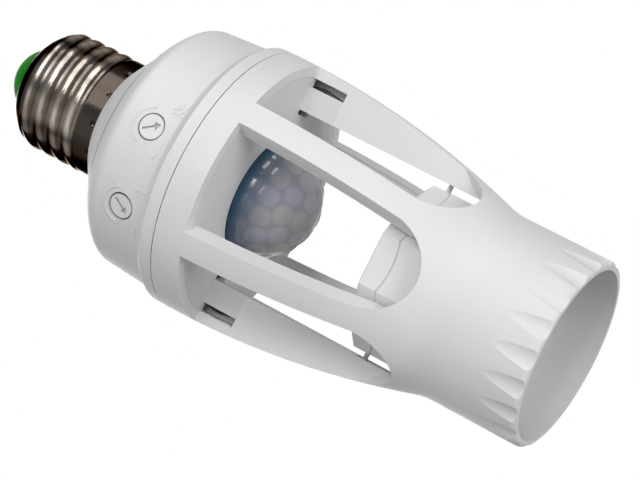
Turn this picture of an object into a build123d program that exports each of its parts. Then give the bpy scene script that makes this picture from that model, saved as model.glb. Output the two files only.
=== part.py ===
"""Motion sensor lamp holder: an E27 cap, a control drum, a six-window cage and a lamp socket.

Millimetres. The axis is +Z, the cup's mouth rim lies on Z = 0 and the cap points up.
The middle of the front window faces -Y, and the two wire ducts lie on +X and -X.
Angles called bearings are counted from the front (-Y), positive towards +X.
"""

import math
import os

from build123d import *

# Cup and cage, one moulding
CUP_RADIUS = 20.0
CUP_HEIGHT = 22.2
CUP_WALL = 1.6
RIM_ROUNDING = 1.0
KINK_ROUNDING = 16.0
CAGE_SWELL = 8.75
CAGE_HEIGHT = 56.65
CAGE_WALL = 2.3
WINDOW_COUNT = 6
WINDOW_RING = 6.45
WINDOW_TIP_RISE = 4.7
WINDOW_ARCH = 12.6
RIB_WIDTH = 5.5
RIB_DEPTH = 4.6
WEB_STEP = 0.35
FLUTE_COUNT = 20
FLUTE_LENGTH = 8.4
FLUTE_DEPTH = 0.75
FLUTE_CUTTER_RADIUS = 4.2
SEAT_LEDGE_HEIGHT = 11.4
SEAT_LEDGE_THICKNESS = 1.4
SEAT_LEDGE_WIDTH = 1.3

# Wire ducts in the two side ribs
DUCT_DEPTH = 9.55
DUCT_WALL = 1.25
DUCT_WEB = 1.4
SLOT_LENGTH = 8.0
SLOT_WALL = 4.45
DUCT_EXIT_HEIGHT = 3.2

# Control drum
DRUM_STEP = 1.45
DRUM_TAPER = 0.7
DRUM_WALL = 2.0
BAND_HEIGHT = 3.05
BAND_SLOPE = 1.3
SHOULDER_RISE = 15.5
CORNER_ROUNDING = 3.4
CORNER_LEAN = 42.0
SHOULDER_ROUNDING = 18.0
CREASE_LEAN = 61.0
COLLAR_RISE = 27.7
COLLAR_LIP = 0.3
SEAM_GAP = 0.25
SPIGOT_HEIGHT = 3.6
SPIGOT_THICKNESS = 1.2
SPIGOT_STEP = 0.6
FIT_GAP = 0.1

# E27 cap
PITCH = 3.629
THREAD_CREST_RADIUS = 13.1
THREAD_DEPTH = 0.8
THREAD_TURNS = 4
SHELL_METAL = 0.45
SKIRT_RADIUS = 12.98
SKIRT_HEIGHT = 4.6
SHELL_MOUTH_RADIUS = 7.5
SHELL_SHOULDER = 3.6
SHELL_BULGE = 0.6
TIP_RISE = 5.2
CONTACT_RADIUS = 2.3
CONTACT_RECESS = 0.4
CONTACT_STEM_DROP = 4.2
INSULATOR_FLANGE = 2.2
LEAD_TURN = 3.5
NECK_WALL = 1.6

# Sensor plate and lens
PLATE_THICKNESS = 1.8
LENS_RADIUS = 12.7
LENS_HEIGHT = 12.8
LENS_WALL = 0.8
LENS_FLANGE = 1.5

# Control board
BOARD_INSET = 2.9
BOARD_THICKNESS = 1.6
BOARD_STANDOFF = 2.9
POST_RADIUS = 2.4
POST_INSET = 3.8
SCREW_RADIUS = 1.05
SCREW_HEAD_RADIUS = 2.1

# Dials
DIAL_RADIUS = 2.8
DIAL_GAP = 0.09
DIAL_RISE = 9.8
DIAL_SINK = 0.35
DIAL_THICKNESS = 2.1
DIAL_FLANGE = 0.6
DIAL_STEM_RADIUS = 1.2
STEM_GAP = 0.05
TRIMMER_SIZE = 6.6
TRIMMER_DEPTH = 4.2
TRIMMER_SINK = 4.35
LUX_BEARING = 7.2
TIME_BEARING = -29.9
LUX_REST_TURN = 34.0
TIME_REST_TURN = -38.0

# Lamp socket
SOCKET_GAP = 0.2
SOCKET_FLAT_DEPTH = 0.9
SOCKET_SIDE_DEPTH = 0.55
SOCKET_HEIGHT = 22.2
SOCKET_COVER = 4.1
SOCKET_ROOF = 1.4
SPLIT_GAP = 0.35
SPLIT_CONE = 1.7
SOCKET_BACK = 2.6
SOCKET_CREST_RADIUS = 13.9
SOCKET_ENTRY = 2.0
SOCKET_TURNS = 4
LINER_GAP = 0.2
LINER_FOOT = 0.6
LEAF_WIDTH = 5.0
LEAF_METAL = 0.4
RIVET_RADIUS = 1.2
WIRE_RADIUS = 0.5
LEAD_RADIUS = 0.8


def polar(radius, bearing, height=0.0):
    """The point at this radius and bearing, counted from the front towards +X."""
    turn = math.radians(bearing)
    return Vector(radius * math.sin(turn), -radius * math.cos(turn), height)


def turned(shape, bearing):
    """A shape that was made facing -Y, turned to this bearing."""
    return Rotation(0, 0, bearing) * shape


def spin(*lines):
    """The solid of revolution about Z of a closed outline drawn in the XZ plane."""
    return revolve(make_face(list(lines)), Axis.Z)


def outline(*points):
    """A closed run of straight lines through points given as (radius, height)."""
    corners = [(r, 0, z) for r, z in points]
    return Polyline(*corners, close=True)


def ring(inner, outer, low, high):
    """A plain ring, or a disc where the inner radius is nothing."""
    return spin(outline((inner, low), (outer, low), (outer, high), (inner, high)))


def block(low, high):
    """A box between two opposite corners."""
    size = [b - a for a, b in zip(low, high)]
    middle = [(a + b) / 2 for a, b in zip(low, high)]
    return Pos(*middle) * Box(*size)


def rod(start, end, radius):
    """A round bar between two points."""
    along = Vector(end) - Vector(start)
    return extrude(Plane(Vector(start), z_dir=along) * Circle(radius), along.length)


def tube(points, radius):
    """A wire along a route of straight runs joined by tangent arcs."""
    corners = [Vector(p) for p in points]
    radii = []
    for before, corner, after in zip(corners, corners[1:], corners[2:]):
        short = min((corner - before).length, (after - corner).length)
        turn = math.radians((corner - before).get_angle(after - corner))
        radii.append(0.45 * short / math.tan(turn / 2))
    route = FilletPolyline(*corners, radius=radii)
    return sweep(Plane(corners[0], z_dir=route % 0) * Circle(radius), path=route)


# Shared places, worked out from the sizes above
RIB_PITCH = 360 / WINDOW_COUNT
CUP_BORE_RADIUS = CUP_RADIUS - CUP_WALL
CAGE_RADIUS = CUP_RADIUS + CAGE_SWELL
CAGE_TOP = CUP_HEIGHT + CAGE_HEIGHT
WINDOW_TOP = CAGE_TOP - WINDOW_RING
WINDOW_TIP = CUP_HEIGHT + WINDOW_TIP_RISE
WINDOW_SHOULDER = WINDOW_TIP + WINDOW_ARCH
INNER_CAGE_RADIUS = CAGE_RADIUS - CAGE_WALL
DUCT_RADIUS = CAGE_RADIUS - DUCT_DEPTH
DUCT_INNER = DUCT_RADIUS + DUCT_WEB
SLOT_INNER_RADIUS = CAGE_RADIUS - SLOT_WALL
SLOT_LOW = WINDOW_TOP - SLOT_LENGTH
SEAT_LEDGE_RADIUS = CUP_BORE_RADIUS - SEAT_LEDGE_WIDTH
SEAT_TOP = SEAT_LEDGE_HEIGHT + SEAT_LEDGE_THICKNESS

PLATE_RADIUS = INNER_CAGE_RADIUS - 0.15
PLATE_TOP = WINDOW_TOP + PLATE_THICKNESS
BOARD_LOW = PLATE_TOP + BOARD_STANDOFF
BOARD_TOP = BOARD_LOW + BOARD_THICKNESS

DRUM_RADIUS = CAGE_RADIUS - DRUM_STEP
DRUM_FOOT = CAGE_TOP + SEAM_GAP
BAND_TOP = DRUM_FOOT + BAND_HEIGHT
SHOULDER_START = DRUM_FOOT + SHOULDER_RISE
COLLAR_TOP = DRUM_FOOT + COLLAR_RISE
COLLAR_RADIUS = SKIRT_RADIUS + COLLAR_LIP
SPIGOT_RADIUS = DRUM_RADIUS - SPIGOT_STEP
SPIGOT_TOP = CAGE_TOP + SPIGOT_HEIGHT
BOARD_RADIUS = DRUM_RADIUS - BOARD_INSET
POST_CIRCLE = BOARD_RADIUS - POST_INSET

DIAL_HEIGHT = BOARD_TOP + DIAL_RISE
DIAL_FACE_RADIUS = DRUM_RADIUS - DIAL_SINK
TRIMMER_FACE_RADIUS = DIAL_FACE_RADIUS - TRIMMER_SINK

THREAD_ROOT_RADIUS = THREAD_CREST_RADIUS - THREAD_DEPTH
THREAD_FOOT = COLLAR_TOP + SKIRT_HEIGHT
THREAD_TOP = THREAD_FOOT + PITCH * THREAD_TURNS
SHELL_TOP = THREAD_TOP + SHELL_SHOULDER
TIP_HEIGHT = SHELL_TOP + TIP_RISE
LEAD_HEIGHT = THREAD_FOOT + LEAD_TURN * PITCH
NECK_TOP = LEAD_HEIGHT - LEAD_RADIUS - 0.4

SOCKET_RADIUS = CUP_BORE_RADIUS - SOCKET_GAP
SOCKET_ROOT_RADIUS = SOCKET_CREST_RADIUS - THREAD_DEPTH
THREAD_CAVITY_RADIUS = SOCKET_CREST_RADIUS + LINER_GAP
SOCKET_SPLIT = SEAT_TOP + SOCKET_HEIGHT
SOCKET_TOP = SOCKET_SPLIT + SOCKET_COVER
BACK_TOP = SOCKET_SPLIT - SPLIT_CONE
CAVITY_TOP = BACK_TOP - SOCKET_BACK
LINER_LOW = SEAT_TOP + LINER_FOOT
LINER_TOP = LINER_LOW + SOCKET_ENTRY + PITCH * SOCKET_TURNS
WIRE_HOLE_RADIUS = WIRE_RADIUS + 0.4
WIRE_HEIGHT = SOCKET_TOP - SOCKET_ROOF - WIRE_RADIUS - 0.3


def swell_middle(low_radius, high_radius):
    """The middle point of the swelling arc from the cup's top to the cage's top."""
    sag = high_radius - low_radius
    arc_radius = (CAGE_HEIGHT**2 + sag**2) / (2 * sag)
    centre = high_radius - arc_radius
    half = math.asin(CAGE_HEIGHT / arc_radius) / 2
    return (centre + arc_radius * math.cos(half), 0, CAGE_TOP - arc_radius * math.sin(half))


def swelling_body(low_radius, high_radius):
    """A straight cup with a body above that swells in one long arc, as one solid."""
    return spin(
        Line((0, 0, 0), (low_radius, 0, 0)),
        Line((low_radius, 0, 0), (low_radius, 0, CUP_HEIGHT)),
        ThreePointArc(
            (low_radius, 0, CUP_HEIGHT), swell_middle(low_radius, high_radius), (high_radius, 0, CAGE_TOP)
        ),
        Line((high_radius, 0, CAGE_TOP), (0, 0, CAGE_TOP)),
        Line((0, 0, CAGE_TOP), (0, 0, 0)),
    )


def cage_envelope():
    """All that lies inside the outer wall, with the soft bend where the cup meets the cage."""
    body = swelling_body(CUP_RADIUS, CAGE_RADIUS)
    rings = body.edges().filter_by(GeomType.CIRCLE).sort_by(Axis.Z)
    kink = [edge for edge in rings if abs(edge.center().Z - CUP_HEIGHT) < 0.01]
    return fillet(kink, KINK_ROUNDING)


def cage_core():
    """The hollow of cup and cage."""
    return swelling_body(CUP_BORE_RADIUS, INNER_CAGE_RADIUS)


def web_limit():
    """The space inside the plain ribs, which keep one depth all the way up."""
    return swelling_body(CUP_RADIUS - RIB_DEPTH, CAGE_RADIUS - RIB_DEPTH)


def window_cutter():
    """The front window: a wedge between two rib flanks, ended by a half ellipse."""
    apex = RIB_WIDTH / 2 / math.sin(math.radians(RIB_PITCH / 2))
    reach = 2 * CAGE_RADIUS
    side = math.radians(RIB_PITCH / 2)
    wedge = extrude(
        make_face(
            Polyline(
                (0, -apex, 0),
                (reach * math.sin(side), -apex - reach * math.cos(side), 0),
                (-reach * math.sin(side), -apex - reach * math.cos(side), 0),
                close=True,
            )
        ),
        WINDOW_TOP,
    )
    sill_radius = CUP_RADIUS + 0.53 * CAGE_SWELL
    half = sill_radius * math.sin(side) - RIB_WIDTH / 2 * math.cos(side)
    front = Plane((0, 0, WINDOW_SHOULDER), x_dir=(1, 0, 0), z_dir=(0, -1, 0))
    arch = extrude(front * Ellipse(half, WINDOW_ARCH), reach)
    above = block((-CAGE_RADIUS, -reach, WINDOW_SHOULDER), (CAGE_RADIUS, 0, WINDOW_TOP))
    return wedge & (arch + above)


def rib_web(inner_radius, width):
    """One rib's inward web at the front, from near the cup up to the sensor plate."""
    low = (-width / 2, -CAGE_RADIUS, CUP_HEIGHT)
    high = (width / 2, -inner_radius, WINDOW_TOP)
    return block(low, high)


def duct_channel():
    """The hollow of the wire duct at the front and its exit to the socket's cover."""
    half = RIB_WIDTH / 2 - DUCT_WALL
    low = WIRE_HEIGHT - DUCT_EXIT_HEIGHT / 2
    high = WIRE_HEIGHT + DUCT_EXIT_HEIGHT / 2
    hollow = block((-half, -INNER_CAGE_RADIUS + 0.3, low), (half, -DUCT_INNER, CAGE_TOP))
    mouth = block((-half, -DUCT_INNER - 0.5, low), (half, -DUCT_RADIUS + 1, high))
    return hollow & cage_core(), mouth


def flute_cutter():
    """One shallow scallop at the front of the rim, deepest at the mouth."""
    lean = math.atan(FLUTE_DEPTH / FLUTE_LENGTH)
    centre = CUP_RADIUS - FLUTE_DEPTH + FLUTE_CUTTER_RADIUS
    foot = Vector(0, -centre - math.tan(lean) * -1.0, -1.0)
    top = Vector(0, -centre - math.tan(lean) * 2 * FLUTE_LENGTH, 2 * FLUTE_LENGTH)
    return rod(foot, top, FLUTE_CUTTER_RADIUS)


def lamp_cage():
    """Cup, ribs, ducts and spigot, moulded as one."""
    envelope = cage_envelope()
    lip = envelope.edges().filter_by(GeomType.CIRCLE).group_by(Axis.Z)[0]
    shell = fillet(lip, RIM_ROUNDING) - cage_core()
    buried = swelling_body(CUP_RADIUS - CUP_WALL / 2, CAGE_RADIUS - CAGE_WALL / 2)
    inside = web_limit()
    for number in range(FLUTE_COUNT):
        shell -= turned(flute_cutter(), (number + 0.5) * 360 / FLUTE_COUNT)
    for number in range(WINDOW_COUNT):
        bearing = (number + 0.5) * RIB_PITCH
        duct = abs(math.cos(math.radians(bearing))) < 0.01
        if duct:
            web = rib_web(DUCT_RADIUS, RIB_WIDTH) & buried
        else:
            web = (rib_web(SOCKET_RADIUS + 0.4, RIB_WIDTH - 2 * WEB_STEP) & buried) - inside
        shell += turned(web, bearing)
    for number in range(WINDOW_COUNT):
        shell -= turned(window_cutter(), number * RIB_PITCH)
    for bearing in (90, -90):
        for hollow in duct_channel():
            shell -= turned(hollow, bearing)
        shell -= turned(tongue_space(bearing), bearing)
    shell += ring(SEAT_LEDGE_RADIUS, CUP_BORE_RADIUS + 0.2, SEAT_LEDGE_HEIGHT, SEAT_TOP)
    shell += ring(SPIGOT_RADIUS - SPIGOT_THICKNESS, SPIGOT_RADIUS, CAGE_TOP - 1.5, SPIGOT_TOP)
    return shell


def tongue_space(bearing):
    """Where a plate tongue and its slot open the duct's front flank, seen at the rib's front."""
    side = 1 if bearing > 0 else -1
    half = RIB_WIDTH / 2
    near = sorted((-side * (half + 0.1), -side * (half - DUCT_WALL)))
    outer = INNER_CAGE_RADIUS - 0.25
    return block((near[0], -outer, SLOT_LOW), (near[1], -DUCT_RADIUS + 0.1, CAGE_TOP - 2))


def tongue(bearing):
    """The sensor plate's tongue that closes the duct's flank, seen at the rib's front."""
    side = 1 if bearing > 0 else -1
    half = RIB_WIDTH / 2
    near = sorted((-side * half, -side * (half - DUCT_WALL)))
    low = (near[0], -SLOT_INNER_RADIUS, SLOT_LOW)
    high = (near[1], -DUCT_RADIUS, PLATE_TOP)
    return block(low, high)


def sensor_plate():
    """The disc that closes the drum, with the lens hole, posts and the two duct tongues."""
    disc = ring(LENS_RADIUS + FIT_GAP, PLATE_RADIUS, WINDOW_TOP, PLATE_TOP)
    for bearing in POST_BEARINGS:
        post = Pos(*polar(POST_CIRCLE, bearing, (PLATE_TOP + BOARD_LOW) / 2))
        disc += post * Cylinder(POST_RADIUS, BOARD_LOW - PLATE_TOP)
        hole = Pos(*polar(POST_CIRCLE, bearing, BOARD_LOW))
        disc -= hole * Cylinder(SCREW_RADIUS, 2 * BOARD_STANDOFF)
    half = RIB_WIDTH / 2 - DUCT_WALL
    for bearing in (90, -90):
        notch = block((-half, -PLATE_RADIUS - 1, WINDOW_TOP - 1), (half, -DUCT_INNER - 0.4, PLATE_TOP + 1))
        disc -= turned(notch, bearing)
        gap = block((-2.4, -DUCT_RADIUS, WINDOW_TOP - 1), (2.4, -DUCT_RADIUS + 1.0, PLATE_TOP + 1))
        disc -= turned(gap, bearing)
        disc += turned(tongue(bearing), bearing)
    return disc


POST_BEARINGS = (40, 125, -125, -62)


def dome_line(radius, height, foot):
    """A round dome's curved line from its foot to its pole; a negative height hangs down."""
    ball = (radius**2 + height**2) / (2 * abs(height))
    centre = foot + height - math.copysign(ball, height)
    half = math.atan2(radius, (foot - centre) * math.copysign(1, height)) / 2
    middle = (ball * math.sin(half), 0, centre + math.copysign(ball, height) * math.cos(half))
    return ThreePointArc((radius, 0, foot), middle, (0, 0, foot + height))


def sensor_lens():
    """A thin dome that hangs below the plate, held by a flange above it."""
    foot = WINDOW_TOP - 0.6
    pole = LENS_HEIGHT - 0.6
    inner = LENS_RADIUS - LENS_WALL
    skin = spin(
        dome_line(LENS_RADIUS, -pole, foot),
        Line((0, 0, foot - pole), (0, 0, foot - pole + LENS_WALL)),
        dome_line(inner, -pole + LENS_WALL, foot),
        Line((inner, 0, foot), (inner, 0, PLATE_TOP + 1)),
        Line((inner, 0, PLATE_TOP + 1), (LENS_RADIUS + LENS_FLANGE, 0, PLATE_TOP + 1)),
        Line((LENS_RADIUS + LENS_FLANGE, 0, PLATE_TOP + 1), (LENS_RADIUS + LENS_FLANGE, 0, PLATE_TOP)),
        Line((LENS_RADIUS + LENS_FLANGE, 0, PLATE_TOP), (LENS_RADIUS, 0, PLATE_TOP)),
        Line((LENS_RADIUS, 0, PLATE_TOP), (LENS_RADIUS, 0, foot)),
    )
    return skin


def on_arc(centre, radius, lean):
    """The point of an arc whose normal leans this many degrees above level."""
    turn = math.radians(lean)
    return (centre[0] + radius * math.cos(turn), 0, centre[1] + radius * math.sin(turn))


def shoulder_lines(grow):
    """The drum's corner and shoulder arcs, moved inwards by grow, and their three main points."""
    lean = math.degrees(math.atan(DRUM_TAPER / SHOULDER_RISE))
    bend = CORNER_ROUNDING - grow
    top_radius = DRUM_RADIUS - DRUM_TAPER
    corner = (
        top_radius - CORNER_ROUNDING * math.cos(math.radians(lean)),
        SHOULDER_START - CORNER_ROUNDING * math.sin(math.radians(lean)),
    )
    broad = SHOULDER_ROUNDING - CORNER_ROUNDING
    crown = (
        corner[0] - broad * math.cos(math.radians(CORNER_LEAN)),
        corner[1] - broad * math.sin(math.radians(CORNER_LEAN)),
    )
    start = on_arc(corner, bend, lean)
    join = on_arc(corner, bend, CORNER_LEAN)
    crease = on_arc(crown, SHOULDER_ROUNDING - grow, CREASE_LEAN)
    corner_arc = ThreePointArc(start, on_arc(corner, bend, (lean + CORNER_LEAN) / 2), join)
    middle = on_arc(crown, SHOULDER_ROUNDING - grow, (CORNER_LEAN + CREASE_LEAN) / 2)
    return start, crease, [corner_arc, ThreePointArc(join, middle, crease)]


def upper_housing():
    """The drum: stepped band at the seam, tapering wall, shoulder, coned collar and cap neck."""
    wall_foot = BAND_TOP + BAND_SLOPE
    start, crease, shoulder = shoulder_lines(0)
    band_round = 0.5
    band = CAGE_RADIUS - 0.05
    body = spin(
        Line((0, 0, DRUM_FOOT), (band, 0, DRUM_FOOT)),
        Line((band, 0, DRUM_FOOT), (band, 0, BAND_TOP - band_round)),
        ThreePointArc(
            (band, 0, BAND_TOP - band_round),
            (band - 0.3 * band_round, 0, BAND_TOP - 0.3 * band_round),
            (band - band_round, 0, BAND_TOP),
        ),
        Line((band - band_round, 0, BAND_TOP), (DRUM_RADIUS, 0, wall_foot)),
        Line((DRUM_RADIUS, 0, wall_foot), start),
        *shoulder,
        Line(crease, (COLLAR_RADIUS, 0, COLLAR_TOP)),
        Line((COLLAR_RADIUS, 0, COLLAR_TOP), (0, 0, COLLAR_TOP)),
        Line((0, 0, COLLAR_TOP), (0, 0, DRUM_FOOT)),
    )
    neck_radius = THREAD_ROOT_RADIUS - SHELL_METAL - FIT_GAP
    neck_bore = neck_radius - NECK_WALL
    skirt_bore = SKIRT_RADIUS - SHELL_METAL - FIT_GAP
    body += ring(0, skirt_bore, COLLAR_TOP - 1, THREAD_FOOT - 0.7)
    body += ring(0, neck_radius, THREAD_FOOT - 1, NECK_TOP)
    inner_start, inner_crease, inner_shoulder = shoulder_lines(DRUM_WALL)
    socket_radius = SPIGOT_RADIUS + FIT_GAP
    inner_foot = DRUM_RADIUS - DRUM_WALL
    hollow = spin(
        Line((0, 0, DRUM_FOOT - 1), (socket_radius, 0, DRUM_FOOT - 1)),
        Line((socket_radius, 0, DRUM_FOOT - 1), (socket_radius, 0, SPIGOT_TOP)),
        Line((socket_radius, 0, SPIGOT_TOP), (inner_foot, 0, SPIGOT_TOP)),
        Line((inner_foot, 0, SPIGOT_TOP), inner_start),
        *inner_shoulder,
        Line(inner_crease, (neck_bore + 0.5, 0, COLLAR_TOP - 0.8)),
        Line((neck_bore + 0.5, 0, COLLAR_TOP - 0.8), (0, 0, COLLAR_TOP - 0.8)),
        Line((0, 0, COLLAR_TOP - 0.8), (0, 0, DRUM_FOOT - 1)),
    )
    body -= hollow
    body -= ring(0, neck_bore, COLLAR_TOP - 2, NECK_TOP + 1)
    for bearing in (LUX_BEARING, TIME_BEARING):
        body -= rod(
            polar(TRIMMER_FACE_RADIUS, bearing, DIAL_HEIGHT),
            polar(CAGE_RADIUS + 2, bearing, DIAL_HEIGHT),
            DIAL_RADIUS + DIAL_GAP,
        )
        body -= rod(
            polar(TRIMMER_FACE_RADIUS, bearing, DIAL_HEIGHT),
            polar(DIAL_FACE_RADIUS - DIAL_THICKNESS + DIAL_GAP, bearing, DIAL_HEIGHT),
            DIAL_RADIUS + DIAL_FLANGE + DIAL_GAP,
        )
    for bearing in PRESS_RIB_BEARINGS:
        low = (-0.8, -inner_foot, BOARD_TOP)
        high = (0.8, -BOARD_RADIUS + 1.8, SHOULDER_START - 0.5)
        body += turned(block(low, high), bearing)
    return body


PRESS_RIB_BEARINGS = (75, 170, -95)


def dial(bearing, rest_turn):
    """A flush dial with an arrow recess, a retaining flange and a stem for its trimmer."""
    face = DIAL_FACE_RADIUS
    back = face - DIAL_THICKNESS
    knob = rod(polar(back - 0.8, 0, 0), polar(face, 0, 0), DIAL_RADIUS)
    knob += rod(polar(back - 0.8, 0, 0), polar(back, 0, 0), DIAL_RADIUS + DIAL_FLANGE)
    knob += rod(polar(TRIMMER_FACE_RADIUS - 2.4, 0, 0), polar(back - 0.5, 0, 0), DIAL_STEM_RADIUS)
    front = Plane((0, -face, 0), x_dir=(1, 0, 0), z_dir=(0, -1, 0))
    length = DIAL_RADIUS * 0.72
    shaft = DIAL_RADIUS * 0.09
    barb = DIAL_RADIUS * 0.3
    arrow = Polyline(
        (-shaft, length, 0),
        (-shaft, -length * 0.35, 0),
        (-barb, -length * 0.35, 0),
        (0, -length, 0),
        (barb, -length * 0.35, 0),
        (shaft, -length * 0.35, 0),
        (shaft, length, 0),
        close=True,
    )
    knob -= extrude(front * make_face(arrow), -0.5)
    knob = Rotation(0, -rest_turn, 0) * knob
    return Pos(0, 0, DIAL_HEIGHT) * turned(knob, bearing)


def trimmer(bearing):
    """A square trimmer standing on two legs on the board, its rotor facing outwards."""
    half = TRIMMER_SIZE / 2
    face = TRIMMER_FACE_RADIUS
    low = (-half, -face, DIAL_HEIGHT - half)
    high = (half, -face + TRIMMER_DEPTH, DIAL_HEIGHT + half)
    body = block(low, high)
    body -= rod(
        Vector(0, -face - 1, DIAL_HEIGHT), Vector(0, -face + 2.8, DIAL_HEIGHT), DIAL_STEM_RADIUS + STEM_GAP
    )
    for side in (-1, 1):
        x = side * half * 0.6
        y = -face + TRIMMER_DEPTH / 2
        body += block((x - 0.5, y - 0.3, BOARD_TOP), (x + 0.5, y + 0.3, DIAL_HEIGHT - half + 0.5))
    return turned(body, bearing)


def thread_profile(root, crest, foot, turns):
    """The rolled rings of an Edison thread as tangent arcs, from the foot upwards."""
    step = PITCH / 2
    lines = []
    z = foot
    for _ in range(turns):
        lines.append(Spline((root, 0, z), (crest, 0, z + step), (root, 0, z + PITCH), tangents=((0, 0, 1), (0, 0, 1))))
        z += PITCH
    return lines


def screw_shell():
    """The cap's metal shell: plain skirt, rolled thread, round shoulder to the insulator."""
    inner_root = THREAD_ROOT_RADIUS - SHELL_METAL
    inner_crest = THREAD_CREST_RADIUS - SHELL_METAL
    slope = math.atan2(THREAD_ROOT_RADIUS - SHELL_MOUTH_RADIUS, SHELL_SHOULDER)
    middle = ((THREAD_ROOT_RADIUS + SHELL_MOUTH_RADIUS) / 2, (THREAD_TOP + SHELL_TOP) / 2)
    outer_shoulder = (middle[0] + SHELL_BULGE * math.cos(slope), 0, middle[1] + SHELL_BULGE * math.sin(slope))
    under = SHELL_BULGE - SHELL_METAL
    inner_shoulder = (middle[0] + under * math.cos(slope), 0, middle[1] + under * math.sin(slope))
    outside = thread_profile(THREAD_ROOT_RADIUS, THREAD_CREST_RADIUS, THREAD_FOOT, THREAD_TURNS)
    inside = thread_profile(inner_root, inner_crest, THREAD_FOOT, THREAD_TURNS)
    return spin(
        Line((SKIRT_RADIUS - SHELL_METAL, 0, COLLAR_TOP), (SKIRT_RADIUS, 0, COLLAR_TOP)),
        Line((SKIRT_RADIUS, 0, COLLAR_TOP), (SKIRT_RADIUS, 0, THREAD_FOOT - 0.5)),
        Line((SKIRT_RADIUS, 0, THREAD_FOOT - 0.5), (THREAD_ROOT_RADIUS, 0, THREAD_FOOT)),
        *outside,
        ThreePointArc((THREAD_ROOT_RADIUS, 0, THREAD_TOP), outer_shoulder, (SHELL_MOUTH_RADIUS, 0, SHELL_TOP)),
        Line((SHELL_MOUTH_RADIUS, 0, SHELL_TOP), (SHELL_MOUTH_RADIUS, 0, SHELL_TOP - SHELL_METAL)),
        ThreePointArc(
            (SHELL_MOUTH_RADIUS, 0, SHELL_TOP - SHELL_METAL), inner_shoulder, (inner_root, 0, THREAD_TOP)
        ),
        *inside,
        Line((inner_root, 0, THREAD_FOOT), (SKIRT_RADIUS - SHELL_METAL, 0, THREAD_FOOT - 0.5)),
        Line((SKIRT_RADIUS - SHELL_METAL, 0, THREAD_FOOT - 0.5), (SKIRT_RADIUS - SHELL_METAL, 0, COLLAR_TOP)),
    )


def tip_ball(radius):
    """The height of the insulator's round top at this radius."""
    neck = SHELL_MOUTH_RADIUS - 0.05
    ball = (neck**2 + TIP_RISE**2) / (2 * TIP_RISE)
    return TIP_HEIGHT - ball + math.sqrt(ball**2 - radius**2)


def cap_insulator():
    """The green button: a dome through the shell's mouth and a flange inside it."""
    low = SHELL_TOP - SHELL_METAL
    flange = low - INSULATOR_FLANGE
    neck = SHELL_MOUTH_RADIUS - 0.05
    crown_radius = CONTACT_RADIUS + 0.4
    crown = tip_ball(crown_radius)
    between = (neck + crown_radius) / 2
    recess = crown - CONTACT_RECESS
    hole = CONTACT_RADIUS * 0.45
    return spin(
        Line((hole, 0, flange), (neck + 1.6, 0, flange)),
        Line((neck + 1.6, 0, flange), (neck, 0, low)),
        Line((neck, 0, low), (neck, 0, SHELL_TOP)),
        ThreePointArc((neck, 0, SHELL_TOP), (between, 0, tip_ball(between)), (crown_radius, 0, crown)),
        Line((crown_radius, 0, crown), (CONTACT_RADIUS, 0, recess)),
        Line((CONTACT_RADIUS, 0, recess), (hole, 0, recess)),
        Line((hole, 0, recess), (hole, 0, flange)),
    )


def cap_contact():
    """The centre contact: a low button and the stem through the insulator."""
    seat = tip_ball(CONTACT_RADIUS + 0.4) - CONTACT_RECESS
    edge = CONTACT_RADIUS - 0.05
    rise = (TIP_HEIGHT - seat) / 2
    head = spin(
        Line((0, 0, seat), (edge, 0, seat)),
        Line((edge, 0, seat), (edge, 0, seat + rise)),
        dome_line(edge, TIP_HEIGHT - seat - rise, seat + rise),
        Line((0, 0, TIP_HEIGHT), (0, 0, seat)),
    )
    stem = ring(0, CONTACT_RADIUS * 0.45 - 0.04, SHELL_TOP - CONTACT_STEM_DROP, seat + 0.1)
    return head + stem


def socket_flats(solid, low, high):
    """The twelve flats around the socket block, every second one a little shallower."""
    for number in range(2 * WINDOW_COUNT):
        depth = SOCKET_SIDE_DEPTH if number % 2 else SOCKET_FLAT_DEPTH
        far = -SOCKET_RADIUS - 2
        cutter = block((-SOCKET_RADIUS, far, low), (SOCKET_RADIUS, -SOCKET_RADIUS + depth, high))
        solid -= turned(cutter, number * RIB_PITCH / 2)
    return solid


def socket_body():
    """The insulating barrel: thread cavity open downwards, coned rim for the cap above."""
    barrel = spin(
        outline(
            (0, SEAT_TOP),
            (SOCKET_RADIUS, SEAT_TOP),
            (SOCKET_RADIUS, SOCKET_SPLIT),
            (SOCKET_RADIUS - SPLIT_CONE, BACK_TOP),
            (0, BACK_TOP),
        )
    )
    barrel -= ring(0, THREAD_CAVITY_RADIUS, SEAT_TOP - 1, CAVITY_TOP)
    barrel = socket_flats(barrel, CUP_HEIGHT + 3, SOCKET_SPLIT + 1)
    for place in RIVET_PLACES:
        barrel -= Pos(place[0], place[1], BACK_TOP) * Cylinder(RIVET_RADIUS, 4 * SOCKET_BACK)
    for side in (-1, 1):
        hole = Pos(0, side * CAP_SCREW_CIRCLE, BACK_TOP) * Cylinder(SCREW_RADIUS, 2 * SOCKET_BACK - 1)
        barrel -= hole
    return barrel


RIVET_PLACES = ((8.5, 0), (-10.2, 0))
CAP_SCREW_CIRCLE = 12.0


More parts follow.
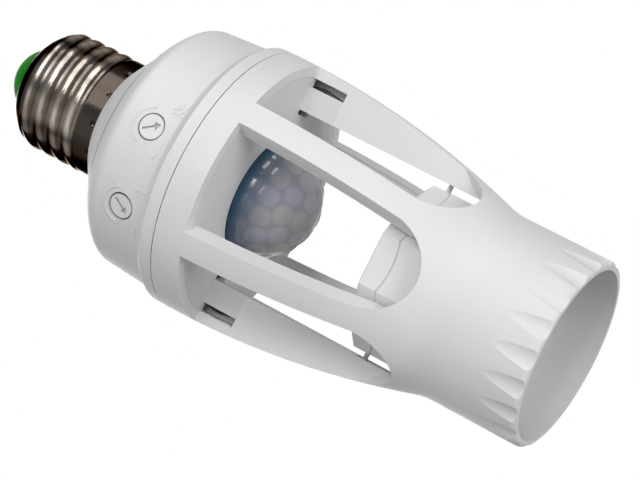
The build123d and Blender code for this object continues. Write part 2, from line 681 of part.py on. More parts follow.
def socket_cap():
    """The socket's back cover: coned underside, flats, rounded top edge and two wire holes."""
    dip = BACK_TOP + SPLIT_GAP
    rim = SOCKET_SPLIT + SPLIT_GAP
    ceiling = SOCKET_TOP - SOCKET_ROOF
    cover = spin(
        outline(
            (0, dip),
            (SOCKET_RADIUS - SPLIT_CONE, dip),
            (SOCKET_RADIUS, rim),
            (SOCKET_RADIUS, SOCKET_TOP),
            (0, SOCKET_TOP),
        )
    )
    cover = socket_flats(cover, dip - 1, SOCKET_TOP + 1)
    cover = fillet(cover.faces().sort_by(Axis.Z)[-1].outer_wire().edges(), 0.5)
    cover -= ring(0, THREAD_CAVITY_RADIUS, dip - 1, ceiling)
    for side in (-1, 1):
        post = Cylinder(2.6, ceiling + 0.2 - BACK_TOP)
        cover += Pos(0, side * CAP_SCREW_CIRCLE, (BACK_TOP + ceiling + 0.2) / 2) * post
        cover -= Pos(0, side * CAP_SCREW_CIRCLE, SOCKET_TOP) * Cylinder(SCREW_RADIUS + 0.15, 20)
        cover -= Pos(0, side * CAP_SCREW_CIRCLE, SOCKET_TOP) * Cylinder(SCREW_HEAD_RADIUS + 0.15, 2.0)
        near = Vector(side * (THREAD_CAVITY_RADIUS - 1), 0, WIRE_HEIGHT)
        cover -= rod(near, Vector(side * (SOCKET_RADIUS + 1), 0, WIRE_HEIGHT), WIRE_HOLE_RADIUS)
    return cover


def screw(place, seat, length):
    """A slotted pan-head screw whose head rests on this height."""
    x, y, _ = place
    head = Pos(x, y, seat + 0.55) * Cylinder(SCREW_HEAD_RADIUS, 1.1)
    shank = Pos(x, y, seat - length / 2 + 0.1) * Cylinder(SCREW_RADIUS - 0.05, length + 0.2)
    slot = block((x - 3, y - 0.25, seat + 0.6), (x + 3, y + 0.25, seat + 2))
    return head + shank - slot


def board_screws():
    """Three screws from the board into the plate's posts."""
    length = BOARD_THICKNESS + BOARD_STANDOFF - 0.2
    return Compound([screw(polar(POST_CIRCLE, bearing), BOARD_TOP, length) for bearing in POST_BEARINGS])


def cap_screws():
    """Two screws from the socket's cover into its barrel."""
    return Compound([screw((0, side * CAP_SCREW_CIRCLE, 0), SOCKET_TOP - 1.0, 4.6) for side in (-1, 1)])


def socket_shell():
    """The socket's threaded liner with a plain entry."""
    low = LINER_LOW
    inner_root = SOCKET_ROOT_RADIUS - SHELL_METAL
    inner_crest = SOCKET_CREST_RADIUS - SHELL_METAL
    start = low + SOCKET_ENTRY
    top = LINER_TOP
    outside = thread_profile(SOCKET_ROOT_RADIUS, SOCKET_CREST_RADIUS, start, SOCKET_TURNS)
    inside = thread_profile(inner_root, inner_crest, start, SOCKET_TURNS)
    entry = SOCKET_CREST_RADIUS
    return spin(
        Line((entry - SHELL_METAL, 0, low), (entry, 0, low)),
        Line((entry, 0, low), (entry, 0, start - 0.5)),
        Line((entry, 0, start - 0.5), (SOCKET_ROOT_RADIUS, 0, start)),
        *outside,
        Line((SOCKET_ROOT_RADIUS, 0, top), (inner_root, 0, top)),
        *inside,
        Line((inner_root, 0, start), (entry - SHELL_METAL, 0, start - 0.5)),
        Line((entry - SHELL_METAL, 0, start - 0.5), (entry - SHELL_METAL, 0, low)),
    )


def centre_contact():
    """A springy strip riveted to the socket's back, its free end bent down over the axis."""
    back = CAVITY_TOP
    thin = LEAF_METAL
    side = Polyline(
        (RIVET_PLACES[0][0] + 2.2, 0, back),
        (RIVET_PLACES[0][0] + 2.2, 0, back - thin),
        (5.0, 0, back - thin),
        (0.6, 0, back - 3.0),
        (-2.6, 0, back - 3.0),
        (-3.4, 0, back - 1.8),
        (-3.0, 0, back - 1.5),
        (-2.4, 0, back - 3.0 + thin),
        (0.8, 0, back - 3.0 + thin),
        (5.2, 0, back),
        close=True,
    )
    strip = extrude(make_face(side), LEAF_WIDTH / 2, dir=(0, 1, 0), both=True)
    return strip - Pos(RIVET_PLACES[0][0], 0, back) * Cylinder(RIVET_RADIUS, 4)


def shell_terminal():
    """The strip that joins the threaded liner to the wire on the socket's back."""
    back = CAVITY_TOP
    liner_top = LINER_TOP
    place = RIVET_PLACES[1][0]
    reach = -(SOCKET_ROOT_RADIUS - SHELL_METAL)
    flat = block((reach, -2.5, back - LEAF_METAL), (place + 2.4, 2.5, back))
    leg = block((reach, -2.5, liner_top - 1.2), (reach + LEAF_METAL, 2.5, back))
    liner = ring(0, SOCKET_ROOT_RADIUS - SHELL_METAL, liner_top - 2, back + 1)
    return ((flat + leg) & liner) - Pos(place, 0, back) * Cylinder(RIVET_RADIUS, 4)


def contact_rivets():
    """Two rivets through the socket's back; each holds a contact below and a wire above."""
    made = []
    for x, y in RIVET_PLACES:
        shank_low = CAVITY_TOP - LEAF_METAL - 0.5
        shank = Pos(x, y, (shank_low + BACK_TOP) / 2) * Cylinder(RIVET_RADIUS - 0.04, BACK_TOP - shank_low)
        head = Pos(x, y, BACK_TOP + RIVET_HEAD / 2) * Cylinder(RIVET_RADIUS + 0.8, RIVET_HEAD)
        tail = Pos(x, y, CAVITY_TOP - LEAF_METAL - 0.25) * Cylinder(RIVET_RADIUS + 0.6, 0.5)
        made.append(shank + head + tail)
    return Compound(made)


RIVET_HEAD = 0.6


def duct_wire(side):
    """A wire from the board, through the plate and the duct, into the socket's cover."""
    rivet = RIVET_PLACES[0] if side > 0 else RIVET_PLACES[1]
    end = rivet[0] + side * (RIVET_RADIUS + 0.4)
    terminal = BACK_TOP + RIVET_HEAD + WIRE_RADIUS
    duct = DUCT_INNER + 2.7
    low_duct = DUCT_INNER + WIRE_RADIUS + 0.25
    drop = WINDOW_TOP - WIRE_HEIGHT
    return [
        (side * (duct - 0.3), 0, BOARD_LOW),
        (side * (duct - 0.3), 0, PLATE_TOP + 0.7),
        (side * (duct + 1.6), 0, WINDOW_TOP - 1.4),
        (side * (duct + 0.9), 0, WINDOW_TOP - 5.5),
        (side * duct, 0, WINDOW_TOP - 0.32 * drop),
        (side * (duct - 0.6), 0.1, WINDOW_TOP - 0.6 * drop),
        (side * low_duct, 0, WINDOW_TOP - 0.86 * drop),
        (side * low_duct, 0, WIRE_HEIGHT),
        (side * (THREAD_CAVITY_RADIUS - 0.2), 0, WIRE_HEIGHT),
        (side * (THREAD_CAVITY_RADIUS - 1.3), 0, terminal),
        (end, 0, terminal),
    ]


def lead_from_contact():
    """The route from the cap's centre contact down to the board."""
    top = SHELL_TOP - CONTACT_STEM_DROP
    drop = top - BOARD_TOP
    return [
        (0, 0, top),
        (0, 0, top - 0.08 * drop),
        (-1.2, 1.0, top - 0.35 * drop),
        (-1.0, -1.4, top - 0.53 * drop),
        (1.6, -0.8, top - 0.7 * drop),
        (2.4, 1.6, top - 0.86 * drop),
        (2.4, 1.6, BOARD_TOP),
    ]


def lead_from_shell():
    """The route from the thread, over the neck's mouth and down to the board."""
    inside = THREAD_ROOT_RADIUS - SHELL_METAL - FIT_GAP - NECK_WALL - LEAD_RADIUS - 0.7
    over = LEAD_HEIGHT
    drop = over - BOARD_TOP
    return [
        (THREAD_CREST_RADIUS - SHELL_METAL - 0.35, 0, over),
        (inside, 0, over),
        (inside - 0.2, 0, over - 0.15 * drop),
        (inside - 1.4, 0.8, over - 0.32 * drop),
        (inside - 3.0, 2.6, over - 0.52 * drop),
        (inside - 3.4, 3.4, over - 0.7 * drop),
        (inside - 3.0, 4.0, over - 0.86 * drop),
        (inside - 3.0, 4.0, BOARD_TOP),
    ]


def control_board():
    """The round board, trimmed for the housing and drilled for its screws."""
    board = ring(0, BOARD_RADIUS, BOARD_LOW, BOARD_TOP)
    for bearing in POST_BEARINGS:
        board -= Pos(*polar(POST_CIRCLE, bearing, BOARD_TOP)) * Cylinder(SCREW_RADIUS + 0.1, 10)
    return board


def box_on_board(x, y, size):
    """A boxed component that stands on the board."""
    lower = (x - size[0] / 2, y - size[1] / 2, BOARD_TOP)
    upper = (x + size[0] / 2, y + size[1] / 2, BOARD_TOP + size[2])
    return fillet(block(lower, upper).edges().filter_by(Axis.Z), 0.5)


def pir_sensor():
    """The sensor can on the board's underside, with its window looking down."""
    can = Pos(0, 0, BOARD_LOW - 2.1) * Cylinder(4.1, 4.2)
    can += Pos(0, 0, BOARD_LOW - 0.25) * Cylinder(4.6, 0.5)
    return can - block((-1.9, -1.4, BOARD_LOW - 5), (1.9, 1.4, BOARD_LOW - 4.0))


def light_sensor():
    """A small round light sensor beside the motion sensor, under the dome."""
    return Pos(8.2, 0, BOARD_LOW - 1.4) * Cylinder(2.2, 2.8)


def make_all():
    """Every sub-part by name."""
    parts = {
        "lamp_cage": lamp_cage(),
        "sensor_plate": sensor_plate(),
        "sensor_lens": sensor_lens(),
        "upper_housing": upper_housing(),
        "screw_shell": screw_shell(),
        "cap_insulator": cap_insulator(),
        "cap_contact": cap_contact(),
        "lux_dial": dial(LUX_BEARING, LUX_REST_TURN),
        "time_dial": dial(TIME_BEARING, TIME_REST_TURN),
        "lux_trimmer": trimmer(LUX_BEARING),
        "time_trimmer": trimmer(TIME_BEARING),
        "socket_body": socket_body(),
        "socket_cap": socket_cap(),
        "cap_screws": cap_screws(),
        "socket_shell": socket_shell(),
        "centre_contact": centre_contact(),
        "shell_terminal": shell_terminal(),
        "contact_rivets": contact_rivets(),
        "control_board": control_board(),
        "board_screws": board_screws(),
        "pir_sensor": pir_sensor(),
        "light_sensor": light_sensor(),
        "relay": box_on_board(0, BOARD_RADIUS - 11.4, (19.0, 15.2, 14.0)),
        "film_capacitor": box_on_board(-14.5, 0.5, (6.0, 13.0, 11.5)),
        "sensor_chip": box_on_board(2.5, -9.0, (9.8, 6.2, 1.7)),
        "smoothing_capacitor": Pos(14.5, 0.5, BOARD_TOP + 6) * Cylinder(4.0, 12.0),
        "load_resistor": Pos(-4.0, -4.2, BOARD_TOP + 1.4) * (Rotation(0, 90, 0) * Cylinder(1.4, 7.0)),
        "live_lead": tube(lead_from_contact(), LEAD_RADIUS),
        "neutral_lead": tube(lead_from_shell(), LEAD_RADIUS),
        "duct_wire_right": tube(duct_wire(1), WIRE_RADIUS),
        "duct_wire_left": tube(duct_wire(-1), WIRE_RADIUS),
    }
    return parts


os.makedirs("parts", exist_ok=True)
for name, shape in make_all().items():
    export_step(shape, f"parts/{name}.step")
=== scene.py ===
# %% [markdown]
# # Motion sensor lamp holder
# The solids of the part arrive as a fixed frame: every node stands where the CAD puts it,
# in metres, with +Z towards the screw cap. This lesson dresses that frame: it models the
# few pieces whose form is too fine for the solids (the helical thread, the lens facets and
# the embossed signs), gives every node a finish, and sets the camera and the studio.

import math

import bpy
from mathutils import Matrix, Vector


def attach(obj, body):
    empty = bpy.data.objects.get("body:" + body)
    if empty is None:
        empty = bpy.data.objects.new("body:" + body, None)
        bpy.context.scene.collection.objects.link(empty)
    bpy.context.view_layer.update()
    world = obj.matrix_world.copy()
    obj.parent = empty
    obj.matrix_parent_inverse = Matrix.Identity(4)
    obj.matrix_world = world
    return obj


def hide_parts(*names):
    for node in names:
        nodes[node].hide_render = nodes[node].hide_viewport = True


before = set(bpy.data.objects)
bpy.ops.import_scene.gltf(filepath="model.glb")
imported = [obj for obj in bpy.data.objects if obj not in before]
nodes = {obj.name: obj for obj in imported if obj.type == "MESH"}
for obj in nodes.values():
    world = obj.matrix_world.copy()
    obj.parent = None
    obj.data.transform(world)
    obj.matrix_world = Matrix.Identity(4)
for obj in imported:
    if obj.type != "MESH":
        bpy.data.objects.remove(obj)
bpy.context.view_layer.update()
print("nodes in the frame:", len(nodes))

# %% [markdown]
# The camera comes first, because everything is seen through it. The photograph looks up at the part
# from below its mouth, with the screw cap at the upper left. A long lens from about half a metre
# keeps the windows nearly parallel. The camera's three directions are written as the columns of its
# matrix.

# %% Camera
CAMERA_PLACE = Vector((0.02203, -0.46607, -0.12767))
CAMERA_RIGHT = Vector((0.4459, 0.3495, -0.8240))
CAMERA_UP = Vector((0.8937, -0.1238, 0.4312))
LENS_MM = 140.6
SENSOR_MM = 36.0
SIGHT_END = 20.0

camera_data = bpy.data.cameras.new("camera")
camera_data.lens = LENS_MM
camera_data.sensor_width = SENSOR_MM
camera_data.clip_end = SIGHT_END
camera = bpy.data.objects.new("camera", camera_data)
bpy.context.collection.objects.link(camera)
right = CAMERA_RIGHT.normalized()
back = right.cross(CAMERA_UP).normalized()
up = back.cross(right)
turn = Matrix((right, up, back)).transposed().to_4x4()
camera.matrix_world = Matrix.Translation(CAMERA_PLACE) @ turn
bpy.context.scene.camera = camera
print("camera looks along", tuple(round(v, 3) for v in -back))

# %% [markdown]
# The scene uses the Standard view, so a colour renders about as it is written.

# %% View
bpy.context.scene.view_settings.view_transform = "Standard"
print("view:", bpy.context.scene.view_settings.view_transform)

# %% [markdown]
# New pieces are modelled as by hand. These small helpers do what a hand does between two
# steps: clear the selection, name what was made, and leave edit mode with clean normals.
# A selection left over from the frame would be pulled along by the next operator.

# %% Helpers for modelling
MM = 0.001
DOUBLES_WITHIN = 1e-6


def deselect_all():
    """Object mode, and nothing selected in the way of the next operator."""
    if bpy.context.mode != "OBJECT":
        bpy.ops.object.mode_set(mode="OBJECT")
    bpy.ops.object.select_all(action="DESELECT")


def only(piece):
    """This piece alone is selected and active."""
    deselect_all()
    piece.select_set(True)
    bpy.context.view_layer.objects.active = piece


def named(name):
    """The piece that was just made, under its own name."""
    piece = bpy.context.active_object
    piece.name = name
    piece.data.name = name
    return piece


def place_in_mesh(piece):
    """The piece's place goes into its mesh, and its object returns to the origin."""
    only(piece)
    bpy.ops.object.transform_apply(location=True, rotation=True, scale=True)


def mend(piece):
    """Doubles merged and normals turned outwards."""
    only(piece)
    bpy.ops.object.mode_set(mode="EDIT")
    bpy.ops.mesh.select_all(action="SELECT")
    bpy.ops.mesh.remove_doubles(threshold=DOUBLES_WITHIN)
    bpy.ops.mesh.normals_make_consistent(inside=False)
    bpy.ops.object.mode_set(mode="OBJECT")


def smooth(piece, degrees):
    """Shaded smooth, but for edges sharper than this angle."""
    only(piece)
    bpy.ops.object.shade_smooth_by_angle(angle=math.radians(degrees))


def thicken(piece, thickness):
    """The piece's skin gets a wall of this many millimetres, inwards."""
    wall = piece.modifiers.new("wall", "SOLIDIFY")
    wall.thickness = thickness * MM
    wall.offset = -1.0
    only(piece)
    bpy.ops.object.modifier_apply(modifier="wall")


def from_points(name, corners, edges, faces):
    """A new piece from a list of points in metres, with its edges or faces."""
    mesh = bpy.data.meshes.new(name)
    mesh.from_pydata(corners, edges, faces)
    piece = bpy.data.objects.new(name, mesh)
    bpy.context.collection.objects.link(piece)
    only(piece)
    return piece


def point(radius, bearing, height):
    """A point in metres from millimetres and a bearing in degrees, from the front to +X."""
    angle = math.radians(bearing)
    return Vector((radius * math.sin(angle), -radius * math.cos(angle), height)) * MM


print("helpers ready")

# %% [markdown]
# The metal shell of the screw cap is rolled from thin sheet, so its thread is a soft wave
# with rounded crests and roots. The solids show it as rings; a real thread climbs. A Screw
# modifier would leave its two ends open in the air, so the shell starts as a lathed
# profile, and then each vertex of the threaded stretch is moved out or in by the wave at
# its own height and angle. The wave fades in above the skirt and out under the shoulder.

# %% Screw shell profile
# Radii and heights are in millimetres.
SKIRT_RADIUS = 12.96
SKIRT_FOOT = 106.84
FOOT_INSET, FOOT_ROUND, FIRST_ROW, ROW_STEP, LAST_ROW = 0.1, 0.08, 0.3, 0.22, 0.1
THREAD_FOOT = 111.4
PITCH = 3.629
THREAD_TOP = THREAD_FOOT + 4 * PITCH
SHOULDER = [
    (11.9, 126.4),
    (11.45, 127.0),
    (10.9, 127.6),
    (10.25, 128.2),
    (9.4, 128.8),
    (8.5, 129.2),
    (7.5, 129.48),
]
AROUND = 240


def shell_profile():
    """Radius and height along the shell, dense where the thread will be."""
    rows = [(SKIRT_RADIUS - FOOT_INSET, SKIRT_FOOT), (SKIRT_RADIUS, SKIRT_FOOT + FOOT_ROUND)]
    height = SKIRT_FOOT + FIRST_ROW
    while height < THREAD_TOP + LAST_ROW:
        rows.append((SKIRT_RADIUS, height))
        height += ROW_STEP
    return rows + SHOULDER


def lathe(name, rows, steps):
    """A profile of (radius, height) in millimetres, spun once around Z."""
    corners = [(radius * MM, 0.0, height * MM) for radius, height in rows]
    piece = from_points(name, corners, [(i, i + 1) for i in range(len(rows) - 1)], [])
    bpy.ops.object.mode_set(mode="EDIT")
    bpy.ops.mesh.select_all(action="SELECT")
    bpy.ops.mesh.spin(steps=steps, angle=2 * math.pi, center=(0, 0, 0), axis=(0, 0, 1))
    bpy.ops.object.mode_set(mode="OBJECT")
    mend(piece)
    return piece


cap_thread = lathe("cap_thread", shell_profile(), AROUND)
print("screw shell before threading:", len(cap_thread.data.vertices), "vertices")

# %% [markdown]
# The wave rises one pitch for each turn, counter-clockwise as seen from above, which
# makes a right-hand thread. A power a little under one makes its crests a little broader
# than its roots.

# %% The thread's wave
CREST, ROOT, NECK_RADIUS = 13.1, 12.55, 12.35
THREAD_PHASE = 112.29
CREST_BREADTH = 0.85
FADE_IN, FADE_IN_LEAD = 1.4, 0.5
FADE_OUT, FADE_OUT_LAG = 2.0, 0.2


def ease(value):
    """A soft step from 0 to 1."""
    value = max(0.0, min(1.0, value))
    return value * value * (3 - 2 * value)


def thread_radius(angle, height):
    """The shell's radius at this angle in radians and height in millimetres."""
    turns = (height - THREAD_PHASE) / PITCH - angle / (2 * math.pi)
    wave = 0.5 - 0.5 * math.cos(2 * math.pi * turns)
    rolled = ROOT + (CREST - ROOT) * wave**CREST_BREADTH
    start = ease((height - THREAD_FOOT + FADE_IN_LEAD) / FADE_IN)
    end = ease((THREAD_TOP - height + FADE_OUT_LAG) / FADE_OUT)
    plain = SKIRT_RADIUS if start < 1 else NECK_RADIUS
    share = start * end
    return plain * (1 - share) + rolled * share


print("crests stand", round(CREST - ROOT, 2), "mm above the roots")

# %% [markdown]
# The same pass presses the small punch marks near the foot of the skirt, which lock the
# shell onto the plastic. Pressing them with the wave keeps the shell one sheet.

# %% Rolling and punching the shell
PUNCH_HEIGHT = 107.5
PUNCH_COUNT = 12
PUNCH_SHIFT = math.radians(20.3)
PUNCH_DEPTH = 0.4
PUNCH_RADIUS = 0.6
PUNCH_STEEPNESS = 1.6
FOOT_KEPT = 0.1
SHEET = 0.35


def punch(angle, height):
    """How far the nearest punch mark presses the skirt in."""
    step = 2 * math.pi / PUNCH_COUNT
    off = (angle - PUNCH_SHIFT) % step
    off = min(off, step - off) * SKIRT_RADIUS
    far = math.hypot(off, height - PUNCH_HEIGHT) / PUNCH_RADIUS
    return PUNCH_DEPTH * math.exp(-(far**2) * PUNCH_STEEPNESS)


for vertex in cap_thread.data.vertices:
    x, y, z = vertex.co / MM
    if SKIRT_FOOT + FOOT_KEPT < z < THREAD_TOP + FADE_OUT_LAG:
        angle = math.atan2(y, x)
        radius = thread_radius(angle, z) - punch(angle, z)
        vertex.co = Vector((radius * math.cos(angle), radius * math.sin(angle), z)) * MM
thicken(cap_thread, SHEET)
smooth(cap_thread, 50)
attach(cap_thread, "holder")
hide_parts("screw_shell")
print("threaded shell:", len(cap_thread.data.polygons), "faces")

# %% [markdown]
# The motion lens is a thin dome made of many small lenses side by side, which show as
# round bumps. Each one is a place on the dome where the surface swells by a fraction of a
# millimetre. A round ball is cut to the dome's height, and its vertices are lifted near
# each lens centre: one at the pole and rings around it, each shifted against the last.

# %% Places of the small lenses
LENS_RADIUS = 12.62
LENS_FOOT = 71.8
LENS_POLE = 59.66
LENS_TOP = 75.2
BALL = ((LENS_FOOT - LENS_POLE) ** 2 + LENS_RADIUS**2) / (2 * (LENS_FOOT - LENS_POLE))
BALL_CENTRE = LENS_POLE + BALL
# Each ring: degrees from the pole, how many lenses, and its shift in lenses.
FACET_RINGS = [(0, 1, 0.0), (20.6, 6, 0.3), (41.0, 11, 0.0), (62.0, 15, 0.5), (82.0, 17, 0.2)]


def facet_directions():
    """Unit vectors from the ball's centre to every small lens."""
    found = []
    for tilt, count, shift in FACET_RINGS:
        lean = math.radians(tilt)
        for number in range(count):
            side = 2 * math.pi * (number + shift) / count
            across = math.sin(lean)
            found.append(
                Vector((across * math.cos(side), across * math.sin(side), -math.cos(lean)))
            )
    return found


centres = facet_directions()
print("small lenses:", len(centres), "on a ball of radius", round(BALL, 2), "mm")

# %% Lens dome
FACET = 2.5
FACET_LIFT = 0.2
EDGE_KEPT = 0.02
BALL_SEGMENTS, BALL_RINGS = 216, 144

deselect_all()
bpy.ops.mesh.primitive_uv_sphere_add(
    segments=BALL_SEGMENTS,
    ring_count=BALL_RINGS,
    radius=(BALL - FACET_LIFT) * MM,
    location=(0, 0, BALL_CENTRE * MM),
)
faceted_dome = named("faceted_dome")
place_in_mesh(faceted_dome)
bpy.ops.object.mode_set(mode="EDIT")
bpy.ops.mesh.select_all(action="SELECT")
bpy.ops.mesh.bisect(plane_co=(0, 0, LENS_FOOT * MM), plane_no=(0, 0, 1), clear_outer=True)
bpy.ops.object.mode_set(mode="OBJECT")
ball_centre = Vector((0, 0, BALL_CENTRE)) * MM


def nearest_facet(vertex):
    """The way out through this vertex, how far off the nearest lens is, and its number."""
    arm = (vertex.co - ball_centre).normalized()
    near, number = max((arm.dot(centre), i) for i, centre in enumerate(centres))
    return arm, math.acos(min(1.0, near)) * BALL / FACET, number


for vertex in faceted_dome.data.vertices:
    arm, far, _ = nearest_facet(vertex)
    lift = FACET_LIFT * max(0.0, 1 - far**2)
    if vertex.co.z < (LENS_FOOT - EDGE_KEPT) * MM:
        vertex.co += arm * lift * MM
print("lens dome:", len(faceted_dome.data.vertices), "vertices")

# %% [markdown]
# Above the dome a short cylinder passes through the plate and ends in a flange that holds
# the lens. It is drawn out of the dome's open edge: extruded up, then scaled out.

# %% Lens neck and flange
FLANGE_DEPTH, FLANGE_RISE, FLANGE_SPREAD = 0.95, 0.9, 1.11
LENS_WALL = 0.6


def pull_up(height):
    """The selected edge is extruded up by this many metres."""
    bpy.ops.mesh.extrude_region_move(TRANSFORM_OT_translate={"value": (0, 0, height)})


only(faceted_dome)
bpy.ops.object.mode_set(mode="EDIT")
bpy.ops.mesh.select_all(action="DESELECT")
bpy.ops.mesh.select_non_manifold()
pull_up((LENS_TOP - FLANGE_DEPTH - LENS_FOOT) * MM)
bpy.ops.mesh.extrude_region_move()
bpy.ops.transform.resize(value=(FLANGE_SPREAD, FLANGE_SPREAD, 1.0))
pull_up(FLANGE_RISE * MM)
bpy.ops.object.mode_set(mode="OBJECT")
mend(faceted_dome)
thicken(faceted_dome, LENS_WALL)
smooth(faceted_dome, 60)
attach(faceted_dome, "holder")
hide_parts("sensor_lens")
print("lens:", len(faceted_dome.data.polygons), "faces")

# %% [markdown]
# The small lenses don't all look alike: their seams get a painted shade, and some are bluer than
# others. Two attributes on the vertices carry this to the material: seam grows from 0 at a lens's
# middle to about 1 at its edge, and tone is one number for each lens. A noise would not know where
# one lens ends.

# %% Seams and tones of the small lenses
TONE_STEP = 0.618

seam = faceted_dome.data.attributes.new("seam", "FLOAT", "POINT")
tone = faceted_dome.data.attributes.new("tone", "FLOAT", "POINT")
for vertex in faceted_dome.data.vertices:
    _, far, number = nearest_facet(vertex)
    seam.data[vertex.index].value = far
    tone.data[vertex.index].value = (number * TONE_STEP) % 1.0
print("attributes on the lens:", seam.name, tone.name)

# %% [markdown]
# The two dials have small signs around them, raised by a hair from the drum: a sun and a
# moon, a plus and a minus, and a curved stroke that grows along the way the dial turns.
# Each sign is drawn flat, given a thickness, and then wrapped onto the drum's slightly
# tapering wall. Printing them as a texture would lose the thin shadow they cast.

# %% Drawing a sign
# Bearings are in degrees from the front, heights and radii in millimetres.
LUX_BEARING, TIME_BEARING, DIAL_HEIGHT = 7.2, -29.9, 88.5
SIGN_HEIGHT = 0.2
SIGN_SINK = 0.08
DRUM_LOW = (27.3, 83.45)
DRUM_HIGH = (26.6, 94.6)


def drum_radius(height):
    """The drum wall's radius at this height."""
    share = (height - DRUM_LOW[1]) / (DRUM_HIGH[1] - DRUM_LOW[1])
    return DRUM_LOW[0] + share * (DRUM_HIGH[0] - DRUM_LOW[0])


def flat_sign(name, outline):
    """A closed outline in millimetres, given a thickness along Z."""
    corners = [(x * MM, y * MM, -SIGN_SINK * MM) for x, y in outline]
    sign = from_points(name, corners, [], [list(range(len(corners)))])
    bpy.ops.object.mode_set(mode="EDIT")
    bpy.ops.mesh.select_all(action="SELECT")
    bpy.ops.mesh.extrude_region_move(
        TRANSFORM_OT_translate={"value": (0, 0, (SIGN_SINK + SIGN_HEIGHT) * MM)}
    )
    bpy.ops.object.mode_set(mode="OBJECT")
    mend(sign)
    return sign


def wrap_on_drum(sign, bearing, height):
    """The flat sign laid on the drum, its middle at this bearing and height."""
    for vertex in sign.data.vertices:
        x, y, out = vertex.co / MM
        level = height + y
        radius = drum_radius(level)
        vertex.co = point(radius + out, bearing + math.degrees(x / radius), level)


def make_sign(name, outlines, bearing, height):
    """A sign of one or more outlines, joined, laid on the drum and riding on the holder."""
    parts = [flat_sign(name, outline) for outline in outlines]
    deselect_all()
    for part in parts:
        part.select_set(True)
    bpy.context.view_layer.objects.active = parts[0]
    if len(parts) > 1:
        bpy.ops.object.join()
    sign = named(name)
    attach(sign, "holder")
    wrap_on_drum(sign, bearing, height)
    return sign


print("drum radius beside the dials:", round(drum_radius(DIAL_HEIGHT), 2), "mm")

# %% [markdown]
# A bar, a ring and a crescent are enough for all the signs. Each is an outline of points.

# %% Outlines of the signs


def on_circle(radius, degrees, centre_x=0.0):
    """A point on a circle whose middle lies on the X axis."""
    angle = math.radians(degrees)
    return centre_x + radius * math.cos(angle), radius * math.sin(angle)


def bar(length, width, turn_by=0.0, centre=(0.0, 0.0)):
    """A straight stroke, turned by degrees."""
    long, wide = length / 2, width / 2
    cosine, sine = math.cos(math.radians(turn_by)), math.sin(math.radians(turn_by))
    corners = ((-long, -wide), (long, -wide), (long, wide), (-long, wide))
    return [
        (centre[0] + x * cosine - y * sine, centre[1] + x * sine + y * cosine) for x, y in corners
    ]


def swelling_arc(radius, start, end, thin, thick, steps=28):
    """A curved stroke whose width grows from thin to thick."""
    outer, inner = [], []
    for step in range(steps + 1):
        share = step / steps
        degrees = start + (end - start) * share
        half = (thin + (thick - thin) * share) / 2
        outer.append(on_circle(radius + half, degrees))
        inner.append(on_circle(radius - half, degrees))
    return outer + inner[::-1]


def crescent(radius, shift, steps=20):
    """A moon: an outer arc and a shifted inner arc."""
    reach = math.degrees(math.acos(shift / (2 * radius)))
    sweep = 360 - 2 * reach
    outer = [on_circle(radius, reach + sweep * step / steps) for step in range(steps + 1)]
    start, stop = 180 + reach, 180 - reach
    inner = [
        on_circle(radius, start + (stop - start) * step / steps, shift) for step in range(1, steps)
    ]
    return outer + inner


print("outline of a crescent:", len(crescent(0.9, 0.6)), "points")

# %% Signs around the dials
STROKE = 0.34
STROKE_RADIUS, STROKE_THIN, STROKE_THICK = 4.1, 0.24, 0.55
RAY_RADIUS = 1.35

# The sun's disc is a ring with a hair's gap, so that its outline stays a single loop.
sun = [swelling_arc(0.62, 0, 354, 0.3, 0.3)]
for ray in range(8):
    sun.append(bar(0.6, 0.26, 45 * ray, on_circle(RAY_RADIUS, 45 * ray)))
# Each stroke runs clockwise between two angles in degrees.
lux_arc = swelling_arc(STROKE_RADIUS, 161, 16, STROKE_THIN, STROKE_THICK)
time_arc = swelling_arc(STROKE_RADIUS, 168, 20, STROKE_THIN, STROKE_THICK)
# Each sign: its outlines, and the bearing and height of its middle on the drum.
SIGNS = {
    "sun_sign": (sun, LUX_BEARING + 11.1, 84.8),
    "moon_sign": ([crescent(1.0, 0.62)], LUX_BEARING - 9.7, 85.7),
    "lux_stroke": ([lux_arc], LUX_BEARING, DIAL_HEIGHT),
    "plus_sign": ([bar(2.3, STROKE), bar(2.3, STROKE, 90)], TIME_BEARING + 10.85, 84.95),
    "minus_sign": ([bar(2.0, STROKE)], TIME_BEARING - 8.7, 84.3),
    "time_stroke": ([time_arc], TIME_BEARING, DIAL_HEIGHT),
    "small_mark": ([bar(0.8, 0.3)], TIME_BEARING + 9.2, 90.9),
}
signs = [make_sign(name, *drawing) for name, drawing in SIGNS.items()]
print("signs made:", [sign.name for sign in signs])

# %% [markdown]
# A finish is a small net of shader nodes. These helpers each add one node, feed it, and
# give back what it puts out, so that a finish below reads as a list of steps. A value may
# be a plain number or another node's output.

# %% Helpers for shader nodes
# A Mix node keeps a set of sockets for each kind of data. These are its colour ones.
MIX_LOW, MIX_HIGH, MIX_RESULT = 6, 7, 2


def feed(work, socket, value):
    """The socket reads another node's output, or keeps this plain value."""
    if isinstance(value, bpy.types.NodeSocket):
        work.links.new(value, socket)
    elif socket.type == "RGBA":
        socket.default_value = (*value, 1)
    else:
        socket.default_value = value


def ramp(work, value, start, stop, first=0.0, last=1.0, easing="LINEAR"):
    """First where the value is at start, last where it is at stop, and no further."""
    node = work.nodes.new("ShaderNodeMapRange")
    node.interpolation_type = easing
    feed(work, node.inputs["Value"], value)
    feed(work, node.inputs["From Min"], start)
    feed(work, node.inputs["From Max"], stop)
    feed(work, node.inputs["To Min"], first)
    feed(work, node.inputs["To Max"], last)
    return node.outputs["Result"]


def blend(work, share, low, high):
    """The low colour where share is 0, and the high one where it is 1."""
    node = work.nodes.new("ShaderNodeMix")
    node.data_type = "RGBA"
    feed(work, node.inputs["Factor"], share)
    feed(work, node.inputs[MIX_LOW], low)
    feed(work, node.inputs[MIX_HIGH], high)
    return node.outputs[MIX_RESULT]


